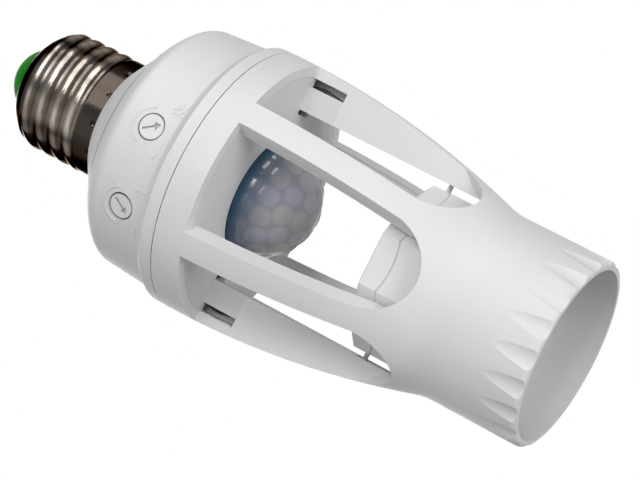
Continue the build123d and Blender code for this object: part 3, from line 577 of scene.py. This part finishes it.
def combine(work, operation, first, second):
    """Two values put together by a Math node."""
    node = work.nodes.new("ShaderNodeMath")
    node.operation = operation
    feed(work, node.inputs[0], first)
    feed(work, node.inputs[1], second)
    return node.outputs["Value"]


def measure(work, operation, first, second=None):
    """A Vector Math node: a vector, or a number where the operation gives one."""
    node = work.nodes.new("ShaderNodeVectorMath")
    node.operation = operation
    feed(work, node.inputs[0], first)
    if second is not None:
        feed(work, node.inputs[1], second)
    return node.outputs["Value" if operation in ("LENGTH", "DOT_PRODUCT") else "Vector"]


print("helpers for shader nodes ready")

# %% Where a point lies, and noise


def object_place(work):
    """Where a point lies on the piece, in metres."""
    return work.nodes.new("ShaderNodeTexCoord").outputs["Object"]


def height_of(work, place):
    """How high this place is, in metres."""
    node = work.nodes.new("ShaderNodeSeparateXYZ")
    feed(work, node.inputs["Vector"], place)
    return node.outputs["Z"]


def noise(work, place, scale, detail, seed=None):
    """A soft noise from 0 to 1. A seed picks one of its many patterns."""
    node = work.nodes.new("ShaderNodeTexNoise")
    if seed is not None:
        node.noise_dimensions = "4D"
        feed(work, node.inputs["W"], seed)
    feed(work, node.inputs["Vector"], place)
    feed(work, node.inputs["Scale"], scale)
    feed(work, node.inputs["Detail"], detail)
    return node.outputs["Fac"]


print("helpers for places and noise ready")

# %% [markdown]
# Most finishes here share one effect: a material is never quite even. A slow noise shifts
# its colour between two tones, and a fine noise gives the surface a faint texture. This is
# built once as a group with named inputs, and each material sets its own values.

# %% The grain group
GRAIN_INPUTS = (
    ("Tone A", "NodeSocketColor"),
    ("Tone B", "NodeSocketColor"),
    ("Drift Scale", "NodeSocketFloat"),
    ("Grain Scale", "NodeSocketFloat"),
    ("Rough Low", "NodeSocketFloat"),
    ("Rough High", "NodeSocketFloat"),
)
DRIFT_LOW, DRIFT_HIGH = 0.35, 0.65


def make_grain_group():
    """A colour that drifts between two tones, and a fine noise for roughness and height."""
    group = bpy.data.node_groups.new("grain", "ShaderNodeTree")
    for name, kind in GRAIN_INPUTS:
        group.interface.new_socket(name=name, in_out="INPUT", socket_type=kind)
    enter = group.nodes.new("NodeGroupInput").outputs
    place = object_place(group)
    drift = noise(group, place, enter["Drift Scale"], detail=4.0)
    fine = noise(group, place, enter["Grain Scale"], detail=2.0)
    share = ramp(group, drift, DRIFT_LOW, DRIFT_HIGH)
    colour = blend(group, share, enter["Tone A"], enter["Tone B"])
    rough = ramp(group, fine, 0.0, 1.0, enter["Rough Low"], enter["Rough High"])
    leave = group.nodes.new("NodeGroupOutput")
    for name, kind, value in (
        ("Colour", "NodeSocketColor", colour),
        ("Roughness", "NodeSocketFloat", rough),
        ("Height", "NodeSocketFloat", fine),
    ):
        group.interface.new_socket(name=name, in_out="OUTPUT", socket_type=kind)
        feed(group, leave.inputs[name], value)
    return group


grain = make_grain_group()
print("group:", grain.name, "with", len(grain.interface.items_tree), "sockets")

# %% [markdown]
# A finish is a Principled shader fed by the grain group. Values that are the same all over
# the surface are set on the shader itself.

# %% A finish from the grain group
finishes = {}


def finish(name, tone_a, tone_b, rough, drift=40.0, fine=2500.0, bump=0.02, **sockets):
    """A material whose colour, roughness and bump come from the grain group."""
    material = bpy.data.materials.new(name)
    material.use_nodes = True
    work = material.node_tree
    shader = work.nodes["Principled BSDF"]
    grains = work.nodes.new("ShaderNodeGroup")
    grains.node_tree = grain
    values = (tone_a, tone_b, drift, fine, *rough)
    for (socket, _), value in zip(GRAIN_INPUTS, values):
        feed(work, grains.inputs[socket], value)
    dents = work.nodes.new("ShaderNodeBump")
    dents.inputs["Strength"].default_value = 1.0
    dents.inputs["Distance"].default_value = bump * MM
    feed(work, dents.inputs["Height"], grains.outputs["Height"])
    feed(work, shader.inputs["Base Color"], grains.outputs["Colour"])
    feed(work, shader.inputs["Roughness"], grains.outputs["Roughness"])
    feed(work, shader.inputs["Normal"], dents.outputs["Normal"])
    for socket, value in sockets.items():
        shader.inputs[socket.replace("_", " ")].default_value = value
    finishes[name] = material
    return work


def grain_colour(work):
    """The colour that the grain group gives this finish."""
    return next(node for node in work.nodes if node.type == "GROUP").outputs["Colour"]


def paint(work, colour):
    """The shader takes this colour in place of the grain's own."""
    feed(work, work.nodes["Principled BSDF"].inputs["Base Color"], colour)


print("a finish sets", len(GRAIN_INPUTS), "values of the grain")

# %% [markdown]
# The body is moulded in a white plastic with a faint texture, more matt than glossy. The
# plate behind the windows is a little greyer. One set of values for gloss and texture
# keeps all the white mouldings alike.

# %% White plastics
PLASTIC = {"rough": (0.5, 0.6), "bump": 0.012, "Specular_IOR_Level": 0.3}
WHITE_A, WHITE_B = (0.76, 0.76, 0.765), (0.72, 0.72, 0.725)

finish("white_plastic", WHITE_A, WHITE_B, **PLASTIC)
finish("inner_plastic", (0.7, 0.7, 0.71), (0.66, 0.66, 0.67), **PLASTIC)
print("plastics made:", list(finishes))

# %% [markdown]
# The upper housing is the same white. The soft crease between its drum and its collar gets a
# painted shade, which makes the line read. Two smooth ramps, one from below and one from above,
# meet at the crease's height, and the smaller of them is the painted shade.

# %% Housing plastic
CREASE_HEIGHT = 100.37
SHADE_BELOW, SHADE_ABOVE = 1.9, 0.55
CREASE_PAINTED_SHADE = (0.4, 0.4, 0.405)

housing = finish("housing_plastic", WHITE_A, WHITE_B, **PLASTIC)
height = height_of(housing, object_place(housing))
crease = CREASE_HEIGHT * MM
# Painted shade: a dark band along the crease between the drum and the collar.
below = ramp(housing, height, (CREASE_HEIGHT - SHADE_BELOW) * MM, crease, easing="SMOOTHSTEP")
above = ramp(housing, height, (CREASE_HEIGHT + SHADE_ABOVE) * MM, crease, easing="SMOOTHSTEP")
painted_shade_share = combine(housing, "MINIMUM", below, above)
paint(housing, blend(housing, painted_shade_share, grain_colour(housing), CREASE_PAINTED_SHADE))
print("housing plastic made, its crease at", CREASE_HEIGHT, "mm")

# %% [markdown]
# The small parts each have a plain finish: two near tones and a range of roughness. They
# are seen through the windows and the mouth, or not at all, so the grain is enough.

# %% Metals and small parts
# Each finish: two tones, and its lowest and highest roughness.
METALS = {
    "socket_nickel": ((0.55, 0.52, 0.48), (0.45, 0.42, 0.39), (0.18, 0.3)),
    "tinned": ((0.62, 0.62, 0.6), (0.5, 0.5, 0.48), (0.25, 0.4)),
    "zinc": ((0.34, 0.34, 0.33), (0.28, 0.28, 0.28), (0.5, 0.65)),
    "brass": ((0.72, 0.52, 0.22), (0.6, 0.42, 0.16), (0.2, 0.35)),
    "can_steel": ((0.7, 0.69, 0.66), (0.6, 0.59, 0.57), (0.2, 0.32)),
}
SMALL_PARTS = {
    "laminate": ((0.03, 0.16, 0.06), (0.02, 0.12, 0.04), (0.3, 0.4)),
    "relay_blue": ((0.02, 0.09, 0.3), (0.015, 0.07, 0.25), (0.25, 0.35)),
    "film_yellow": ((0.55, 0.4, 0.05), (0.48, 0.34, 0.04), (0.2, 0.3)),
    "black_epoxy": ((0.02, 0.02, 0.02), (0.03, 0.03, 0.03), (0.45, 0.6)),
    "black_sleeve": ((0.015, 0.015, 0.02), (0.025, 0.025, 0.03), (0.25, 0.35)),
    "trimmer_blue": ((0.03, 0.08, 0.28), (0.02, 0.06, 0.22), (0.35, 0.45)),
    "red_wire": ((0.5, 0.03, 0.02), (0.42, 0.02, 0.02), (0.35, 0.45)),
    "white_wire": ((0.75, 0.75, 0.74), (0.68, 0.68, 0.67), (0.35, 0.45)),
    "sleeved_wire": ((0.02, 0.02, 0.02), (0.03, 0.03, 0.03), (0.35, 0.5)),
}
for name, (tone_a, tone_b, rough) in METALS.items():
    finish(name, tone_a, tone_b, rough, Metallic=1.0)
for name, (tone_a, tone_b, rough) in SMALL_PARTS.items():
    finish(name, tone_a, tone_b, rough)
print("finishes of small parts:", len(METALS) + len(SMALL_PARTS))

# %% [markdown]
# The insulator at the end of the cap is a deep green glass-like button. Most of what makes
# it look deep is a very low specular level, so that the bright room doesn't grey its green.

# %% Green insulator
GREEN_A, GREEN_B = (0.006, 0.24, 0.003), (0.004, 0.2, 0.002)

finish("green_insulator", GREEN_A, GREEN_B, (0.4, 0.5), bump=0.01, Specular_IOR_Level=0.04)
print("green insulator made")

# %% [markdown]
# The wires in the two ducts are black where the slots show them. Lower down they leave the
# ducts for the lamp socket, and a pale sleeve covers that stretch. The sleeve starts at a
# height, so a steep ramp along Z tells the two apart.

# %% Sleeve on the duct wires
SLEEVE_START, SLEEVE_FULL = 0.0555, 0.055
SLEEVE_TONE = (0.72, 0.72, 0.72)

wire = finishes["sleeved_wire"].node_tree
sleeve = ramp(wire, height_of(wire, object_place(wire)), SLEEVE_START, SLEEVE_FULL)
paint(wire, blend(wire, sleeve, grain_colour(wire), SLEEVE_TONE))
print("wires are sleeved below", SLEEVE_FULL / MM, "mm")

# %% [markdown]
# The nickel of the cap is bright on the crests, where it rubs, and nearly black in the roots and on
# the shoulder, which is painted shade. The distance from the axis tells one from the other. Along
# the crests it changes too: dull and bright belts run up the cap, a painted reflection that a noise
# stretched along Z draws. The plain skirt below the thread keeps the dull tone, a painted dark
# reflection. A dark base and a low specular tint keep the white room from washing it out.

# %% Nickel
NICKEL_A, NICKEL_B = (0.36, 0.32, 0.29), (0.24, 0.205, 0.175)
GRAZING_TINT = (0.25, 0.22, 0.2, 1)
ROOT_PAINTED_SHADE, BELT_PAINTED_DARK_REFLECTION = (0.01, 0.008, 0.007), (0.022, 0.017, 0.014)
ROOT_SHADE_RADII = (12.35, 12.95)
PATCH_SCALE = 110.0
REFLECTION_BELT_SEED = 1.7
REFLECTION_BELT_STRETCH = (1, 1, 0.12)
REFLECTION_BELT_EDGES = (0.44, 0.58)
SKIRT_REFLECTION_EDGES = (0.1112, 0.1125)
SKIRT_HIGHLIGHT_SHARE = 0.04

nickel = finish(
    "nickel", NICKEL_A, NICKEL_B, (0.1, 0.18), PATCH_SCALE, Metallic=1.0, Specular_Tint=GRAZING_TINT
)
place = object_place(nickel)
from_axis = measure(nickel, "LENGTH", measure(nickel, "MULTIPLY", place, (1000, 1000, 0)))
# Painted shade: nearer the axis, in the roots and on the shoulder, the tone goes near-black.
crest = ramp(nickel, from_axis, *ROOT_SHADE_RADII)
# Painted reflection: bright and dull belts running up the cap, drawn by a noise stretched along Z.
reflection_belts = noise(nickel, measure(nickel, "MULTIPLY", place, REFLECTION_BELT_STRETCH), PATCH_SCALE, 2.0, REFLECTION_BELT_SEED)
# Painted dark reflection: the plain skirt keeps almost only the dull belt tone.
highlight_above_skirt = ramp(nickel, height_of(nickel, place), *SKIRT_REFLECTION_EDGES, first=SKIRT_HIGHLIGHT_SHARE)
painted_highlight_share = combine(nickel, "MULTIPLY", ramp(nickel, reflection_belts, *REFLECTION_BELT_EDGES), highlight_above_skirt)
painted_reflection_colour = blend(nickel, painted_highlight_share, BELT_PAINTED_DARK_REFLECTION, grain_colour(nickel))
paint(nickel, blend(nickel, crest, ROOT_PAINTED_SHADE, painted_reflection_colour))
print("nickel made, its patches about", round(1 / (PATCH_SCALE * MM)), "mm wide")

# %% [markdown]
# The lens is milky polyethylene with a glossy skin. Its small lenses differ in tone, and their
# seams get a painted shade: the two attributes made with the dome mix these in. Near its foot it is
# painted darker and bluish, a painted shade where the housing shades it and its dark inside shows
# through. Light scattered inside the shell is another way; plain colours were chosen because each
# of them can be set against the photograph alone.

# %% Lens plastic
LENS_A, LENS_B = (0.4, 0.39, 0.365), (0.34, 0.33, 0.32)
LILAC, SEAM_PAINTED_SHADE, FOOT_PAINTED_SHADE = (0.31, 0.32, 0.44), (0.15, 0.16, 0.22), (0.02, 0.06, 0.11)
LILAC_SHARE, SEAM_SHADE_SHARE = 0.6, 0.38
SEAM_SHADE_EDGES = (0.72, 1.05)
FOOT_SHADE_EDGES = (0.0648, 0.0715)


def attribute(work, name):
    """A number that the vertices carry."""
    node = work.nodes.new("ShaderNodeAttribute")
    node.attribute_name = name
    return node.outputs["Fac"]


lens = finish(
    "lens_plastic", LENS_A, LENS_B, (0.1, 0.16), drift=90.0, bump=0.006, Specular_IOR_Level=0.45
)
bluer = combine(lens, "MULTIPLY", attribute(lens, "tone"), LILAC_SHARE)
facets = blend(lens, bluer, grain_colour(lens), LILAC)
# Painted shade at the seams between the small lenses.
seam_shade = ramp(lens, attribute(lens, "seam"), *SEAM_SHADE_EDGES, last=SEAM_SHADE_SHARE)
with_seam_shade = blend(lens, seam_shade, facets, SEAM_PAINTED_SHADE)
# Painted shade near the lens's foot: darker and bluish.
foot_shade = ramp(lens, height_of(lens, object_place(lens)), *FOOT_SHADE_EDGES)
paint(lens, blend(lens, foot_shade, with_seam_shade, FOOT_PAINTED_SHADE))
print("lens plastic made")

# %% [markdown]
# Each dial has a fine gap around it, and a painted shade there makes its outline read as a dark
# ring. The distance from the dial's own axis finds the rim: the place on the dial, crossed with the
# direction of the axis, is as long as that distance. The arrow's recess gets painted shade too, and
# is found by how far out a point lies along the same axis.

# %% Dial plastic
DIAL_A, DIAL_B = (0.78, 0.78, 0.785), (0.74, 0.74, 0.745)
DIAL_RADIUS = 2.8
RIM_START, RIM_FULL = 0.34, 0.16
RECESS_START, RECESS_FULL = 0.1, 0.3
RECESS_SHADE_SHARE = 0.38
DIAL_PAINTED_SHADE = (0.09, 0.09, 0.09)


def dial_finish(dial, bearing):
    """White plastic with painted shade around this dial's rim and in its recess."""
    work = finish(dial + "_plastic", DIAL_A, DIAL_B, **PLASTIC)
    place = object_place(work)
    outward = point(1, bearing, 0) / MM
    from_middle = measure(work, "SUBTRACT", place, (0, 0, DIAL_HEIGHT * MM))
    from_axis = measure(work, "LENGTH", measure(work, "CROSS_PRODUCT", from_middle, outward))
    # Painted shade in the fine gap around the dial's rim.
    rim_shade = ramp(work, from_axis, (DIAL_RADIUS - RIM_START) * MM, (DIAL_RADIUS - RIM_FULL) * MM)
    face = max(vertex.co.dot(outward) for vertex in nodes[dial].data.vertices)
    out = measure(work, "DOT_PRODUCT", place, outward)
    recess_edges = (face - RECESS_START * MM, face - RECESS_FULL * MM)
    # Painted shade in the arrow's recess.
    recess_shade = ramp(work, out, *recess_edges, last=RECESS_SHADE_SHARE)
    painted_shade_share = combine(work, "MAXIMUM", rim_shade, recess_shade)
    paint(work, blend(work, painted_shade_share, grain_colour(work), DIAL_PAINTED_SHADE))


dial_finish("lux_dial", LUX_BEARING)
dial_finish("time_dial", TIME_BEARING)
print("finishes made:", len(finishes))

# %% [markdown]
# Now every node of the frame and every new piece is dressed. A node keeps its mesh and
# only gets a material.

# %% Dressing the nodes
DRESSED = {
    "white_plastic": ("lamp_cage", "socket_body", "socket_cap"),
    "housing_plastic": ("upper_housing",),
    "lux_dial_plastic": ("lux_dial",),
    "time_dial_plastic": ("time_dial",),
    "inner_plastic": ("sensor_plate",),
    "nickel": ("screw_shell",),
    "socket_nickel": ("socket_shell",),
    "green_insulator": ("cap_insulator",),
    "tinned": ("cap_contact",),
    "zinc": ("cap_screws", "board_screws"),
    "brass": ("centre_contact", "shell_terminal", "contact_rivets"),
    "lens_plastic": ("sensor_lens",),
    "laminate": ("control_board",),
    "can_steel": ("pir_sensor",),
    "black_epoxy": ("light_sensor", "sensor_chip", "load_resistor"),
    "relay_blue": ("relay",),
    "film_yellow": ("film_capacitor",),
    "black_sleeve": ("smoothing_capacitor",),
    "trimmer_blue": ("lux_trimmer", "time_trimmer"),
    "red_wire": ("live_lead",),
    "white_wire": ("neutral_lead",),
    "sleeved_wire": ("duct_wire_right", "duct_wire_left"),
}


def dress(piece, finish_name):
    """The piece's only material."""
    piece.data.materials.clear()
    piece.data.materials.append(finishes[finish_name])


dressed = set()
for finish_name, names in DRESSED.items():
    for name in names:
        dress(nodes[name], finish_name)
        dressed.add(name)
dress(cap_thread, "nickel")
dress(faceted_dome, "lens_plastic")
for sign in signs:
    dress(sign, "white_plastic")
print("dressed", len(dressed), "nodes, undressed:", sorted(set(nodes) - dressed))

# %% [markdown]
# The part stands on its rim on a pale floor. The photograph looks up from below that
# level, so the floor is seen from its back there: its material lets the back be looked
# through. It takes the part's shadow but casts none itself, so that the lamp below it
# reaches the part, and diffuse rays pass it, so that the room's light reaches into the
# mouth. A little emission, for the camera alone, lifts it to a pale tone.

# %% Floor
FLOOR_SIZE = 4.0
FLOOR_TONE = (0.88, 0.88, 0.88)
FLOOR_LIFT = 0.38
WHITE = (1, 1, 1)

deselect_all()
bpy.ops.mesh.primitive_plane_add(size=FLOOR_SIZE, location=(0, 0, 0))
floor = named("floor")
floor.visible_shadow = False
floor.visible_diffuse = False
floor_paint = bpy.data.materials.new("floor_paint")
floor_paint.use_nodes = True
work = floor_paint.node_tree
shader = work.nodes["Principled BSDF"]
feed(work, shader.inputs["Base Color"], FLOOR_TONE)
feed(work, shader.inputs["Roughness"], 1.0)
feed(work, shader.inputs["Specular IOR Level"], 0.0)
feed(work, shader.inputs["Emission Color"], WHITE)
looked_at = work.nodes.new("ShaderNodeLightPath").outputs["Is Camera Ray"]
feed(work, shader.inputs["Emission Strength"], combine(work, "MULTIPLY", looked_at, FLOOR_LIFT))
side = work.nodes.new("ShaderNodeNewGeometry")
clear = work.nodes.new("ShaderNodeBsdfTransparent")
choice = work.nodes.new("ShaderNodeMixShader")
feed(work, choice.inputs["Fac"], side.outputs["Backfacing"])
feed(work, choice.inputs[1], shader.outputs["BSDF"])
feed(work, choice.inputs[2], clear.outputs["BSDF"])
feed(work, work.nodes["Material Output"].inputs["Surface"], choice.outputs["Shader"])
floor.data.materials.append(floor_paint)
print("floor laid")

# %% [markdown]
# The world gives the part a soft, even light. What the camera, a reflection or a look
# through clear plastic sees of it is plain white, at a strength of its own, so that a
# white background costs the part no extra light.

# %% World
WORLD_LEVEL = 0.34

world = bpy.data.worlds.new("studio")
bpy.context.scene.world = world
world.use_nodes = True
work = world.node_tree
ambient, seen = work.nodes["Background"], work.nodes.new("ShaderNodeBackground")
for background, strength in ((ambient, WORLD_LEVEL), (seen, 1.0)):
    feed(work, background.inputs["Color"], WHITE)
    feed(work, background.inputs["Strength"], strength)
rays = work.nodes.new("ShaderNodeLightPath").outputs
camera_or_glossy = combine(work, "MAXIMUM", rays["Is Camera Ray"], rays["Is Glossy Ray"])
any_seen = combine(work, "MAXIMUM", camera_or_glossy, rays["Is Transmission Ray"])
mix = work.nodes.new("ShaderNodeMixShader")
feed(work, mix.inputs["Fac"], any_seen)
feed(work, mix.inputs[1], ambient.outputs["Background"])
feed(work, mix.inputs[2], seen.outputs["Background"])
feed(work, work.nodes["World Output"].inputs["Surface"], mix.outputs["Shader"])
print("world level:", WORLD_LEVEL)

# %% [markdown]
# Five soft lamps. A key from the front and a weak fill from above on the other side shape
# the body, as the photograph's shading shows. A low lamp, under the floor's level, lights
# the part from where the photograph looks up at it, and a lamp behind lights its back. The
# last stands for a large window and is left out of diffuse light: it puts the bright
# streaks on the nickel and the lens, and only a faint gloss on the plastic.

# %% Lamps
TARGET = Vector((0, 0, 0.068))
# Each lamp: its place and the side of its square in metres, and its power in watts.
LAMPS = {
    "key_lamp": ((0.3, -0.95, 0.1), 0.5, 3.5),
    "fill_lamp": ((-0.4, -0.6, 0.7), 0.6, 0.5),
    "low_lamp": ((0.4, -0.56, -0.72), 0.5, 4.6),
    "back_lamp": ((-0.25, 0.85, 0.55), 0.6, 3.2),
    "window_lamp": ((0.62, -0.62, 0.5), 1.2, 26.0),
}


def soft_lamp(name, place, size, power):
    """A square area lamp aimed at the part's middle."""
    data = bpy.data.lights.new(name, "AREA")
    data.size = size
    data.energy = power
    lamp = bpy.data.objects.new(name, data)
    bpy.context.collection.objects.link(lamp)
    lamp.location = place
    lamp.rotation_euler = (TARGET - Vector(place)).to_track_quat("-Z", "Y").to_euler()
    return lamp


lamps = {name: soft_lamp(name, *values) for name, values in LAMPS.items()}
lamps["window_lamp"].visible_diffuse = False
print("lamps:", list(lamps))
